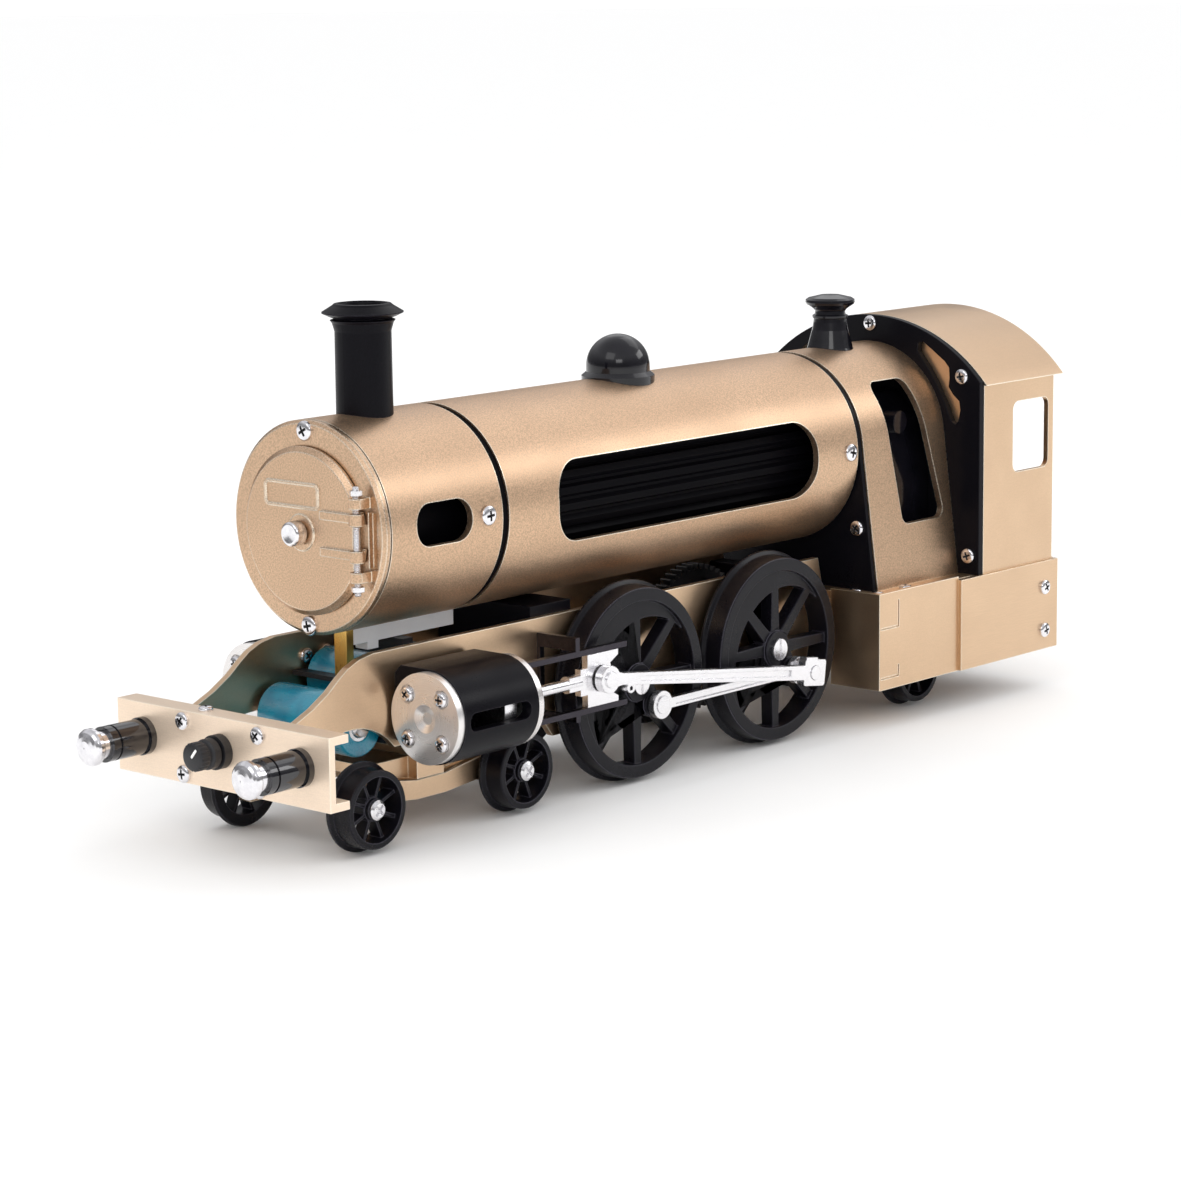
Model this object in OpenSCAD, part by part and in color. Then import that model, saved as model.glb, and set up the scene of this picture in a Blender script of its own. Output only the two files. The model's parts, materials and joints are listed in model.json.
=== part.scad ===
// Model steam locomotive in metal, 4-4-2, for 45 mm gauge track.
// Inside loco() every x is measured from the face of the smokebox ring, forward positive,
// every y from the middle of the loco, left positive, and every z from the top of the rail.

/* [Body] */
// Outer diameter of the boiler and smokebox
boiler_d = 55; // [53:0.5:56]
// Height of the boiler axis above the rail
axis_z = 78.3; // [77.5:0.1:79]
// Wall thickness of the boiler, smokebox and firebox shells
shell_t = 2; // [1.6:0.1:2.2]
// Outside width of the cab over its side plates
cab_w = 80.6; // [79:0.2:82]
// Outer radius of the cab roof
roof_r = 54.3; // [54.1:0.1:54.5]

/* [Wheels] */
// Tread radius of the driving wheels
driver_r = 26.2; // [25.8:0.1:26.6]
// Tread radius of the bogie and trailing wheels
bogie_wheel_r = 10.1; // [9.6:0.1:10.3]
// Height of the flange over the tread
flange_h = 1.5; // [1.2:0.1:1.6]
// Distance between the backs of a pair of wheels
back_to_back = 41; // [40.6:0.1:41.4]
// Number of spokes in a driving wheel
driver_spokes = 8; // [6:2:10]

/* [Motion] */
// Radius of the crank pins from the axle
crank_r = 8.8; // [8:0.1:9]
// Length of a main rod between its two pins
main_rod_l = 88.6; // [88:0.1:89]
// Height of the cylinder axis above the rail
cyl_z = 31.7; // [31.2:0.1:32.2]
// Distance of the cylinder axis from the middle of the loco
cyl_y = 31.6; // [31.4:0.1:31.8]
// Number of teeth on the drive gear
gear_teeth = 52; // [50:2:54]
// Number of teeth on the motor pinion
pinion_teeth = 12; // [11:1:13]

/* [Hidden] */

// Furthest points fore and aft, and the shift that centres the part between them
nose_x = 51.5;
tail_x = -289.5;
ring_x = -(nose_x + tail_x) / 2;
// Roundness of ordinary circles
$fn = 64;
boiler_r = boiler_d / 2;
half_cab = cab_w / 2;
box_y = half_cab - 1.4;
rear_panel_y = half_cab + 1.1;
back_y = back_to_back / 2;
// Clearance round a shaft that turns in a hole
run = 0.05;

// Lengthways stations
front_axle_x = -96.4;
rear_axle_x = -156.6;
bogie_x = -23;
bogie_half = 27.6;
trailing_x = -224;
smoke_end = -43;
boiler_front = -45.4;
boiler_end = -193.6;
fire_front = -196;
fire_end = -236;
cab_back = -274.7;
end_x = -276.6;
end_face = end_x - 1.1;
chimney_x = -21.2;
dome_x = -119.8;
valve_x = -216;

// Frames
frame_y = 19;
frame_t = 2;
frame_top = 47.8;
deck_z = 35.4;
deck_t = 2.6;
deck_top = deck_z + deck_t;
// Buffer beam, a channel open at the back
beam_back = 25.1;
beam_face = 31.7;
beam_top = 34.8;
beam_bottom = 16;
beam_flange = 2.2;
beam_web = 2;
beam_half = 38.8;
// Driving axle and crank
axle_r = 2.5;
small_axle_r = 1.5;
pin_r = 2;
wheel_face = 27.6;
left_crank = 228.7;
right_crank = left_crank + 90;
// Motion planes, as distances from the middle of the loco
coupling_in = 28.5;
coupling_out = 30.5;
cross_in = 30.9;
cross_out = 32.9;
main_in = 33.4;
main_out = 36;
// Gear train
gear_module = 0.8;
gear_y = -5;
gear_w = 4;
motor_dir = 10;
gear_reach = gear_module * (gear_teeth + pinion_teeth) / 2;
motor_r = 11.8;
motor_x = rear_axle_x + gear_reach * cos(motor_dir);
motor_z = driver_r + gear_reach * sin(motor_dir);
// Cylinders
cyl_r = 12.2;
bore_r = 9;
rod_r = 1.55;
cyl_front = -11;
cyl_back = -38;
cover_face = -8.6;
// Cover screws, as distances from the cylinder axis across and up
cover_screw_y = 5.9;
cover_screw_z = 5.7;
// Slide bars: distance of their inner faces from the cylinder axis, and their thickness
slide_gap = 7.15;
slide_t = 1.5;
bracket_x = [-65.8, -64.2];
bracket_top = 44;
bracket_bottom = cyl_z - 10.4;
// Door hinge
hinge_x = 3;
hinge_y = 20.7;
hinge_r = 1;
// Smokebox door
door_r = 21.6;
door_z = axis_z - 0.6;
boss_z = axis_z - 0.8;
// Centre of the roof's curve
roof_z = 59.3;
// Lower edge and front face of the side boxes, and the lap of the rear panels over them
box_bottom = 10.6;
box_front = -188.8;
panel_lap = 0.4;
// Back of the saddle post, and the top of the saddle under the boiler
post_back = -13;
saddle_top = axis_z - boiler_r - 0.15;
// Gap round a collar inside a shell
collar_gap = 0.05;
// Screws
head_r = 2.6;
head_h = 1.2;

module loco() translate([ring_x, 0, flange_h]) children();

// A flat plate standing in the XZ plane between two y values, drawn in x and z
module upright(y0, y1) translate([0, y1, 0]) rotate([90, 0, 0]) linear_extrude(y1 - y0) children();

// A flat plate across the loco between two x values, drawn in y and z
module across(x0, x1) translate([x0, 0, 0]) rotate([90, 0, 90]) linear_extrude(x1 - x0) children();

// The same piece on both sides
module both() {
    children();
    mirror([0, 1, 0]) children();
}

// Side 1 is left and side -1 is right; the piece is drawn for the left
module on_side(s) {
    if (s > 0) children();
    else mirror([0, 1, 0]) children();
}

module rod_x(x0, x1, r, y = 0, z = 0) translate([x0, y, z]) rotate([0, 90, 0]) cylinder(h = x1 - x0, r = r);

module rod_y(y0, y1, r, x = 0, z = 0) translate([x, y1, z]) rotate([90, 0, 0]) cylinder(h = y1 - y0, r = r);

module block(x, y, z) translate([x[0], y[0], z[0]]) cube([x[1] - x[0], y[1] - y[0], z[1] - z[0]]);

// A solid turned about the Y axis from a profile of radius and distance outward, for the left side
module turned_y() mirror([0, 1, 0]) rotate([90, 0, 0]) rotate_extrude($fn = 96) children();

module rounded(w, h, r) {
    square([w - 2 * r, h], center = true);
    square([w, h - 2 * r], center = true);
    for (i = [-1, 1], j = [-1, 1]) translate([i * (w / 2 - r), j * (h / 2 - r)]) circle(r);
}

// ---------------------------------------------------------------- screws

// Pan head with a cross slot, seat at the origin, head along +Z
module screw(r = head_r, h = head_h) {
    slot_l = 1.3 * r;
    slot_w = 0.28 * r;
    slot_d = 0.6 * h;
    difference() {
        union() {
            cylinder(h = 0.55 * h, r = r, $fn = 32);
            translate([0, 0, 0.55 * h]) cylinder(h = 0.45 * h, r1 = r, r2 = 0.72 * r, $fn = 32);
        }
        for (a = [45, 135]) rotate([0, 0, a])
            translate([-slot_l / 2, -slot_w / 2, h - slot_d]) cube([slot_l, slot_w, slot_d + 1]);
    }
}

module screw_front(x, y, z, r = head_r) translate([x, y, z]) rotate([0, 90, 0]) screw(r);
module screw_left(x, y, z, r = head_r) translate([x, y, z]) rotate([-90, 0, 0]) screw(r);
module screw_up(x, y, z, r = head_r) translate([x, y, z]) screw(r);

module panel_screws() color("silver") loco() {
    for (z = [103.1, 53.2]) screw_front(0, 0, z);
    for (y = [-13.8, 13.8], z = [32, 18.4]) screw_front(beam_face, y, z, 2.3);
    screw_front(fire_end, 0, 111.1, 2.3);
    for (s = [-1, 1]) {
        screw_front(fire_end, s * 33.9, 97.1, 2.3);
        screw_front(fire_end, s * 36.6, 43.5, 2.3);
        screw_front(-194.5, s * 26.6, 56.2, 2.3);
        for (i = [-1, 1], j = [-1, 1])
            screw_front(cover_face, s * cyl_y + i * cover_screw_y, cyl_z + j * cover_screw_z, 2);
    }
    both() {
        screw_left(-37.3, boiler_r, axis_z + 1.2);
        screw_left(-189.9, boiler_r, axis_z + 0.6);
        for (z = [29.9, 16.6]) screw_left(-269.3, rear_panel_y, z, 2.3);
        for (x = [-190.9, -204.5]) screw_up(x, 36.6, deck_top, 1.9);
        screw_up(-190.9, 28.6, deck_top, 1.9);
        for (x = [-14.2, -21.4]) mirror([0, 1, 0]) screw_left(x, frame_t - frame_y, 41.2, 2.1);
    }
    screw_up(28.2, -9, beam_top, 1.9);
    for (z = [31.6, 18.8], y = [-13.8, 13.8]) mirror([1, 0, 0]) screw_front(-end_face, y, z, 2.3);
}

// ---------------------------------------------------------------- frames

function arc_pts(cx, cz, r, a0, a1, n) = [for (i = [0 : n]) let (a = a0 + (a1 - a0) * i / n)
    [cx + r * cos(a), cz + r * sin(a)]];

// Front top edge of a frame: level, then an S-shaped fall to the beam
module frame_outline() polygon(concat(
    [[29.6, 18.3], [29.6, 32.5], [24.6, 32.5], [24.6, 33.9], [18, 36.8], [12.4, 40.1], [8.6, 43.1],
     [5.4, 45.3], [1.6, 46.9], [-3.4, frame_top], [-185.6, frame_top], [-188.6, deck_z],
     [end_x + 0.2, deck_z],
     [end_x + 0.2, 24], [trailing_x - 9, 24], [trailing_x - 5, 6], [trailing_x + 5, 6],
     [trailing_x + 9, 17], [-186, 17], [-180, 15], [-70, 15], [-64, 22.6], [-15.6, 22.6]],
    arc_pts(bogie_x + bogie_half, bogie_wheel_r, 19.4, 140, 25, 12)));

module frame(s) color("goldenrod") loco() on_side(s) difference() {
    upright(frame_y - frame_t, frame_y) frame_outline();
    for (x = [front_axle_x, rear_axle_x]) rod_y(frame_y - 3, frame_y + 1, axle_r + run, x, driver_r);
    rod_y(frame_y - 3, frame_y + 1, small_axle_r + run, trailing_x, bogie_wheel_r);
}

module frame_left() frame(1);
module frame_right() frame(-1);

// Channel with its flanges pointing back
module buffer_beam() color("tan") loco() difference() {
    block([beam_back, beam_face], [-beam_half, beam_half], [beam_bottom, beam_top]);
    block([beam_back - 1, beam_face - beam_web], [-beam_half - 1, beam_half + 1],
        [beam_bottom + beam_flange, beam_top - beam_flange]);
}

module rear_beam() color("tan") loco() difference() {
    block([end_face, end_x + 0.2], [-36, 36], [12, deck_z]);
    block([end_face - 1, end_x + 1], [-7.2, 7.2], [17.8, 24.2]);
}

// Cross members between the frames, with the pin the bogie swivels on
module frame_stretchers() color("dimgray") loco() {
    inner = frame_y - frame_t;
    block([18, 24.4], [-inner, inner], [22, 29.5]);
    block([-28, -18], [-inner, inner], [22.8, 26]);
    translate([bogie_x, 0, 11.5]) cylinder(h = 11.5, r = 3);
    translate([bogie_x, 0, 10.3]) cylinder(h = 1.4, r = 5);
    block([-80, -64], [-inner, inner], [38, 50.6]);
    block([-113, -106], [-inner, inner], [24, 32]);
    block([-186, -180], [-inner, inner], [18, 44]);
    block([-262, -254], [-inner, inner], [25, deck_z]);
}

hitch_r = 6.5;
hitch_x = tail_x + hitch_r;

module rear_drawbar() color("dimgray") loco() difference() {
    union() {
        block([hitch_x, -254], [-hitch_r, hitch_r], [18, 20]);
        translate([hitch_x, 0, 18]) cylinder(h = 2, r = hitch_r);
        block([-262, -254], [-hitch_r, hitch_r], [20, 25]);
    }
    translate([hitch_x, 0, 17]) cylinder(h = 4, r = 1.7);
}

// ---------------------------------------------------------------- buffers and control knob

buffer_y = 28.7;
buffer_z = 26.2;

module buffer_stocks() color("#181818") loco() both() difference() {
    union() {
        rod_x(beam_face, 33.4, 4.9, buffer_y, buffer_z);
        rod_x(33.4, 34.4, 4.3, buffer_y, buffer_z);
        rod_x(34.4, 42.6, 4.6, buffer_y, buffer_z);
        rod_x(42.6, 43.2, 4.2, buffer_y, buffer_z);
        rod_x(43.2, 45.4, 4.6, buffer_y, buffer_z);
    }
    rod_x(32.6, 46, 2 + run, buffer_y, buffer_z);
    rod_x(39.8, 46, 3.7 + run, buffer_y, buffer_z);
}

// Shank and collar that slide in the stock, with a domed head
module buffer_head(s) color("lightgray") loco() on_side(s)
    translate([0, buffer_y, buffer_z]) rotate([0, 90, 0]) rotate_extrude($fn = 96) polygon([[0, 36], [2, 36],
        [2, 42.5], [3.7, 42.5], [3.7, 48.4], [4.6, 48.4], [4.8, 48.7], [4.8, 49.7], [4.5, 50.3], [3.9, 50.8],
        [3, 51.15], [1.8, 51.4], [0, nose_x]]);

module buffer_head_left() buffer_head(1);
module buffer_head_right() buffer_head(-1);

module switch_body() color("#202020") loco() {
    rod_x(beam_face, 34.2, 4.4, 0, buffer_z);
    rod_x(34.2, 36, 1.5, 0, buffer_z);
    block([24.6, beam_face - beam_web], [-5.5, 5.5], [21, 31]);
}

// Rotary knob with a pointer slot across its face
module control_knob() color("#101010") loco() difference() {
    union() {
        rod_x(34.6, 37.4, 3.9, 0, buffer_z);
        rod_x(37.4, 38.2, 3.3, 0, buffer_z);
        rod_x(38.2, 41.6, 3.9, 0, buffer_z);
    }
    rod_x(34, 36.2, 1.5 + run, 0, buffer_z);
    translate([41.2, 0, buffer_z]) rotate([40, 0, 0]) cube([1.8, 0.9, 9], center = true);
}

// ---------------------------------------------------------------- smokebox and boiler

module tube_x(x0, x1, r, t) difference() {
    rod_x(x0, x1, r, 0, axis_z, $fn = 128);
    rod_x(x0 - 1, x1 + 1, r - t, 0, axis_z, $fn = 128);
}

module smokebox_shell() color("burlywood") loco() difference() {
    tube_x(smoke_end, -2.6, boiler_r, shell_t);
    upright(-40, 40) translate([-21.6, 79.6]) rounded(20.2, 11, 5.2);
    translate([chimney_x, 0, 100]) cylinder(h = 12, r = 5.4);
}

// Front ring with a chamfered edge and the fixed half of the door hinge
module smokebox_ring() color("burlywood") loco() {
    difference() {
        union() {
            rod_x(-2.2, -0.9, boiler_r, 0, axis_z, $fn = 128);
            translate([-0.9, 0, axis_z]) rotate([0, 90, 0])
                cylinder(h = 0.9, r1 = boiler_r, r2 = boiler_r - 0.9, $fn = 128);
            rod_x(-6, -2.2, boiler_r - shell_t - collar_gap, 0, axis_z, $fn = 128);
        }
        rod_x(-7, 1, 19, 0, axis_z, $fn = 128);
        block([-1.5, 1], [21.9, 24.9], [axis_z - 8.2, axis_z + 6]);
    }
    for (z = [axis_z + 7.2, axis_z - 11.4]) difference() {
        union() {
            translate([hinge_x, hinge_y, z]) cylinder(h = 2.6, r = 1.9);
            block([-0.5, 3.4], [hinge_y + 0.3, hinge_y + 1.9], [z, z + 2.6]);
        }
        translate([hinge_x, hinge_y, z - 1]) cylinder(h = 6, r = hinge_r);
    }
}

module hinge_pin() color("silver") loco() translate([hinge_x, hinge_y, axis_z]) {
    translate([0, 0, -14]) cylinder(h = 26.4, r = hinge_r);
    for (z = [9.9, -13.9]) translate([0, 0, z]) cylinder(h = 1.9, r = 1.7);
    for (z = [12.0, -14.8]) translate([0, 0, z]) cylinder(h = 0.9, r = 1.4);
}

// Door disc with a bevelled edge, two hinge straps, a boss and a plain raised plate
module smokebox_door() color("tan") loco() {
    difference() {
        union() {
            rod_x(0.3, 1, door_r, 0, door_z, $fn = 128);
            translate([1, 0, door_z]) rotate([0, 90, 0])
                cylinder(h = 1.2, r1 = door_r, r2 = door_r - 1.4, $fn = 128);
            rod_x(-3, 0.4, 17.6, 0, door_z, $fn = 128);
            rod_x(2.1, 2.6, 4.7, 0, boss_z);
            for (z = [axis_z + 4.4, axis_z - 4.9]) {
                block([2.1, 3.1], [7.5, hinge_y], [z - 1.1, z + 1.1]);
                translate([hinge_x, hinge_y, z - 1.5]) cylinder(h = 3, r = 1.9);
            }
            translate([2.1, -3.2, axis_z + 8.6]) rotate([90, 0, 90]) linear_extrude(0.5) difference() {
                rounded(19.6, 6.6, 1.6);
                rounded(18.4, 5.4, 1.1);
            }
        }
        translate([hinge_x, hinge_y, axis_z - 10]) cylinder(h = 20, r = hinge_r + run);
        block([0, 6], [hinge_y - 2.2, hinge_y + 4], [axis_z - 3.2, axis_z + 2.7]);
        block([0, 2.2], [hinge_y - 2.2, hinge_y + 4], [axis_z + 6.1, axis_z + 12]);
        block([0, 2.2], [hinge_y - 2.2, hinge_y + 4], [axis_z - 14, axis_z - 6.6]);
        rod_x(1.6, 4, 1.5 + run, 0, boss_z);
    }
}

module door_knob() color("silver") loco() {
    rod_x(1.7, 3, 1.5, 0, boss_z);
    rod_x(2.7, 6.2, 3.2, 0, boss_z);
    translate([6.2, 0, boss_z]) rotate([0, 90, 0]) cylinder(h = 0.5, r1 = 3.2, r2 = 2.7);
}

// Flared stack with a sharp-edged lip, cut to the curve of the smokebox
module chimney() color("#1c1c1c") loco() difference() {
    translate([chimney_x, 0, 0]) rotate_extrude($fn = 96) polygon([[5.4, 100.8], [7.4, 100.8], [7.3, 126.6],
        [7.9, 128.7], [8.4, 129.4], [7.2, 129.9], [8.6, 130.3], [10.5, 131.2], [10.5, 131.5], [7.9, 133.1],
        [7.3, 133.6], [6.4, 133.7], [6, 133.2], [5.4, 131]]);
    rod_x(-40, 0, boiler_r, 0, axis_z, $fn = 128);
}

module boiler_shell() color("burlywood") loco() difference() {
    tube_x(boiler_end, boiler_front, boiler_r, shell_t);
    upright(-40, 40) translate([dome_x, 79]) rounded(110.4, 21.8, 9.4);
}

function flute_pts(n, r0, r1) = [for (i = [0 : n - 1], k = [0 : 3])
    let (a = (i + [0.08, 0.3, 0.7, 0.92][k]) * 360 / n, r = (k == 0 || k == 3) ? r0 : r1)
    [r * cos(a), r * sin(a)]];

// Fluted inner tube with the two collars that hold the shells in line, and the smokebox drum
module boiler_core() color("#151515") loco() {
    difference() {
        across(boiler_end + 4, boiler_front - 4) translate([0, axis_z]) polygon(flute_pts(28, 18.6, 20));
        rod_x(boiler_end, boiler_front, 16.5, 0, axis_z);
    }
    rod_x(boiler_front, smoke_end, boiler_r - 0.5, 0, axis_z, $fn = 128);
    rod_x(fire_front + 1.5, boiler_end, boiler_r - 0.5, 0, axis_z, $fn = 128);
    for (x = [boiler_front - 4, boiler_end])
        rod_x(x, x + 4, boiler_r - shell_t - collar_gap, 0, axis_z, $fn = 128);
    rod_x(smoke_end, -8, 19.4, 0, axis_z);
}

module dome() color("#0c0c0c") loco() difference() {
    translate([dome_x, 0, 0]) union() {
        translate([0, 0, 98]) cylinder(h = 10.7, r = 8.9);
        translate([0, 0, 108.7]) sphere(r = 8.9, $fn = 96);
        translate([0, 0, 98]) cylinder(h = 8.2, r = 10.2);
        translate([0, 0, 106.2]) cylinder(h = 1.1, r1 = 10.2, r2 = 8.9);
    }
    rod_x(-140, -100, boiler_r, 0, axis_z, $fn = 128);
}

// Turned spool on the firebox
module safety_valve() color("#0c0c0c") loco() difference() {
    translate([valve_x, 0, 0]) rotate_extrude($fn = 96)
        polygon([[0, 98], [7.3, 98], [7.2, 104.4], [6.8, 105.6], [6.1, 108.2], [5.4, 110.8], [5, 113.2],
            [4.9, 114.2], [5.3, 114.5], [5.3, 115.1], [4.6, 115.5], [4.5, 116.4], [4.9, 117], [6, 117.8],
            [7, 118.4], [7.4, 119.1], [7.3, 119.8], [6.4, 120.4], [5.5, 120.6], [3, 121.2], [0, 121.4]]);
    rod_x(-240, -190, boiler_r, 0, axis_z, $fn = 128);
}

// ---------------------------------------------------------------- firebox and cab

// Half width of the firebox where it stands on the footplate
fire_foot = 33;

// Round top with flat sides, tangent to it, that spread towards the footplate
module fire_outline(d) {
    foot = [fire_foot - d, deck_top - axis_z];
    a = atan2(foot[1], foot[0]) + acos((boiler_r - d) / norm(foot));
    top = (boiler_r - d) * [cos(a), sin(a)];
    translate([0, axis_z]) {
        circle(boiler_r - d, $fn = 128);
        polygon([[-foot[0], foot[1]], foot, top, [-top[0], top[1]]]);
    }
}

module fire_window() {
    corners = [[-214, 58.5], [-228.4, 58.5], [-221.8, 94], [-210.4, 94]];
    polygon([[-214, 55.5], [-228.4, 55.5], [-228.4, 58.5], [-231.4, 58.5], [-224.8, 94], [-221.8, 94],
        [-221.8, 97], [-210.4, 97], [-210.4, 94], [-207.4, 94], [-211, 58.5], [-214, 58.5]]);
    for (c = corners) translate(c) circle(3);
}

module firebox_shell() color("burlywood") loco() difference() {
    across(fire_end, fire_front) difference() {
        fire_outline(0);
        fire_outline(shell_t);
        translate([0, deck_top - 10]) square([2 * (fire_foot - shell_t), 20.02], center = true);
    }
    upright(-40, 40) fire_window();
}

// Inner box seen through the side windows
module firebox_core() color("#151515") loco() {
    across(fire_end + 0.2, fire_front - 1) polygon([[-22, deck_top], [22, deck_top], [22, 66],
        [18, 84], [10, 92], [-10, 92], [-18, 84], [-22, 66]]);
    both() {
        rod_y(17, 21.5, 3.4, -222, 84);
        block([-216, -212], [16, 23], [76, 79]);
    }
}

module throat_plate() color("#151515") loco() across(fire_front, fire_front + 1.5) difference() {
    fire_outline(0.4);
    translate([0, axis_z]) circle(boiler_r - 4.5);
}

module roof_outline(d) intersection() {
    translate([0, roof_z]) circle(roof_r - d, $fn = 180);
    translate([-half_cab, deck_top]) square([cab_w, 90]);
}

// Spectacle plate with a curved cut-out beside the firebox on each side
module cab_front_plate() color("#151515") loco() across(fire_end - 2.2, fire_end) difference() {
    roof_outline(0);
    for (s = [0, 1]) mirror([s, 0])
        polygon([[17.7, 106.2], [19.4, 106.7], [27.4, 101.2], [29, 99.4], [29.2, 96.4], [28.9, 93.6],
            [30.6, 91.4], [32.8, 89.6], [33.2, 87], [32.5, 83.6], [31.4, 82.6], [30, 83.4], [27.6, 88.6],
            [24.4, 94.4], [21.2, 99], [17.4, 103.6]]);
}

// Gold sheet behind the spectacle plate, seen through its cut-outs
module cab_lining() color("burlywood") loco() across(fire_end - 3.3, fire_end - 2.3) difference() {
    intersection() {
        roof_outline(1.5);
        translate([1.7 - half_cab, deck_top]) square([cab_w - 3.4, 90]);
    }
    fire_outline(2.8);
}

module backhead() color("#202020") loco() {
    across(fire_end - 4, fire_end - 2.3) difference() {
        fire_outline(3);
        translate([0, 20]) square([90, 40], center = true);
    }
    rod_x(fire_end - 5.6, fire_end - 4, 7, 0, 62);
    block([fire_end - 8, fire_end - 4], [-2, 2], [82, 84]);
    for (y = [-12, 12]) rod_x(fire_end - 6.4, fire_end - 4, 4, y, 88);
}

eave_z = 94.6;

module cab_sides() color("burlywood") loco() both() difference() {
    upright(half_cab - 1.6, half_cab) translate([cab_back, deck_top])
        square([fire_end - 2.3 - cab_back, eave_z - deck_top]);
    upright(half_cab - 3, half_cab + 1) translate([-262.7, 77.6]) rounded(18.6, 21.4, 2.6);
}

// Curved roof with an eave each side and a lip over the back of the cab
module cab_roof() color("tan") loco() across(-278.6, fire_end - 2.3) difference() {
    translate([0, roof_z]) circle(roof_r, $fn = 180);
    translate([0, roof_z]) circle(roof_r - 1.4, $fn = 180);
    translate([-60, 0]) square([120, eave_z]);
}

module footplate() color("burlywood") loco()
    block([end_face, box_front], [-box_y, box_y], [deck_z, deck_top]);

// Lower side boxes: a side plate, a front plate and two tab joints cut as grooves
module side_boxes() color("burlywood") loco() both() difference() {
    union() {
        block([-226, -187], [box_y, half_cab], [box_bottom, deck_top + 1]);
        block([box_front, -187], [22.6, box_y], [box_bottom, deck_top + 1]);
        block([-226, box_front], [26, box_y], [box_bottom, box_bottom + 1.6]);
    }
    for (z = [13.8, 28.4]) {
        block([-196, -187.8], [half_cab - 0.5, half_cab + 1], [z, z + 0.5]);
        block([-196.5, -196], [half_cab - 0.5, half_cab + 1], [z, z + (z > 20 ? 8 : 3.5)]);
    }
    rod_y(20, 38, 13.4, trailing_x, bogie_wheel_r);
}

module rear_panels() color("tan") loco() both() {
    inner = half_cab - panel_lap;
    block([cab_back - 1.9, -226], [inner, rear_panel_y], [box_bottom, deck_top]);
    block([cab_back - 1.9, cab_back], [36.2, inner], [12, deck_z]);
    block([-240, -226], [box_y, inner], [14, deck_z]);
}

// ---------------------------------------------------------------- between the frames

module saddle_post() color("gold") loco() block([post_back, -10.4], [-2.3, 2.3], [38.2, saddle_top]);

module saddle_bar() color("whitesmoke") loco() {
    block([-50, post_back], [-2.3, 2.3], [46.4, saddle_top]);
    block([-22, -18], [-2.3, 2.3], [44.4, 46.4]);
}

cell_pos = [[-2.6, 28.4], [-20.4, 35.2], [-37.4, 35.2]];

// Three short cells lying across the frames, each with its terminal
module battery_cells() color("deepskyblue") loco() for (c = cell_pos) {
    rod_y(-15.5, 14.5, 7.9, c[0], c[1]);
    rod_y(14.5, 15.6, 2.6, c[0], c[1]);
}

// Tray under the cells, with a bridge that carries the saddle post and bar
module cell_cradle() color("#242424") loco() difference() {
    union() {
        block([-46.4, -11.6], [-16.8, 16.8], [26.2, 31]);
        block([-12.8, -8.6], [-16.8, 16.8], [23.4, 31]);
        block([-29.6, -28.2], [-16.8, 16.8], [31, 44]);
        block([-30.8, -27], [-6, 6], [44, 46.3]);
        block([-14.6, -9.2], [-16.8, 16.8], [36.9, 38.1]);
    }
    for (c = cell_pos) rod_y(-20, 20, 8, c[0], c[1]);
}

// Geared motor that lies across the frames and drives the rear axle
module motor() color("silver") loco() difference() {
    union() {
        rod_y(-1.6, 15.4, motor_r, motor_x, motor_z);
        rod_y(-2.6, -1.6, 4, motor_x, motor_z);
        rod_y(15.4, 17, 6, motor_x, motor_z);
    }
    rod_y(-3, 8, 1.2, motor_x, motor_z);
}

// Outline of a spur gear with straight-sided teeth, the first tooth centred on angle a0
function gear_pts(n, m, a0) = let (rp = m * n / 2, rr = rp - 1.15 * m, rt = rp + 0.75 * m)
    [for (i = [0 : n - 1], k = [0 : 3]) let (w = (k == 0 || k == 3) ? 0.75 * m / rr : 0.35 * m / rt,
        r = (k == 0 || k == 3) ? rr : rt, sgn = k < 2 ? -1 : 1,
        a = a0 + i * 360 / n + sgn * w * 180 / PI) [r * cos(a), r * sin(a)]];

module drive_gear() color("#202020") loco() translate([rear_axle_x, 0, driver_r]) difference() {
    upright(gear_y - gear_w / 2, gear_y + gear_w / 2) polygon(gear_pts(gear_teeth, gear_module, motor_dir));
    rod_y(-10, 0, axle_r);
    for (a = [0 : 60 : 300]) rotate([0, a, 0]) rod_y(-10, 0, 3.6, 11.6, 0);
    rotate([90, 0, 0]) translate([0, 0, 2]) difference() {
        cylinder(h = 1.8, r = 17.4);
        cylinder(h = 4, r = 5, center = true);
    }
}

module motor_pinion() color("gold") loco() translate([motor_x, 0, motor_z]) {
    upright(gear_y - 2.4, gear_y + 2.2)
        polygon(gear_pts(pinion_teeth, gear_module, motor_dir + 180 + 180 / pinion_teeth));
    rod_y(gear_y, 7.6, 1.15);
}

// ---------------------------------------------------------------- cylinders and motion

module cylinder_blocks() color("#1a1a1a") loco() both() difference() {
    union() {
        rod_x(cyl_back, cyl_front, cyl_r, cyl_y, cyl_z, $fn = 96);
        block([cyl_back, cyl_front], [frame_y, cyl_y], [cyl_z - 7.5, cyl_z + 12.2]);
    }
    rod_x(cyl_back - 1, cyl_front + 1, bore_r, cyl_y, cyl_z);
    upright(cyl_y + 5, cyl_y + 20) translate([-23.8, cyl_z - 0.2]) rounded(22.6, 4.8, 2.3);
    translate([0, frame_y - 1, cyl_z + 12.2]) rotate([45, 0, 0])
        translate([cyl_back - 1, -2.2, -2.2]) cube([40, 4.4, 4.4]);
}

// Round bosses, or the holes for them, at a cover's four screws
module cover_bosses(x0, x1, r) for (i = [-1, 1], j = [-1, 1])
    rod_x(x0, x1, r, cyl_y + i * cover_screw_y, cyl_z + j * cover_screw_z);

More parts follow.
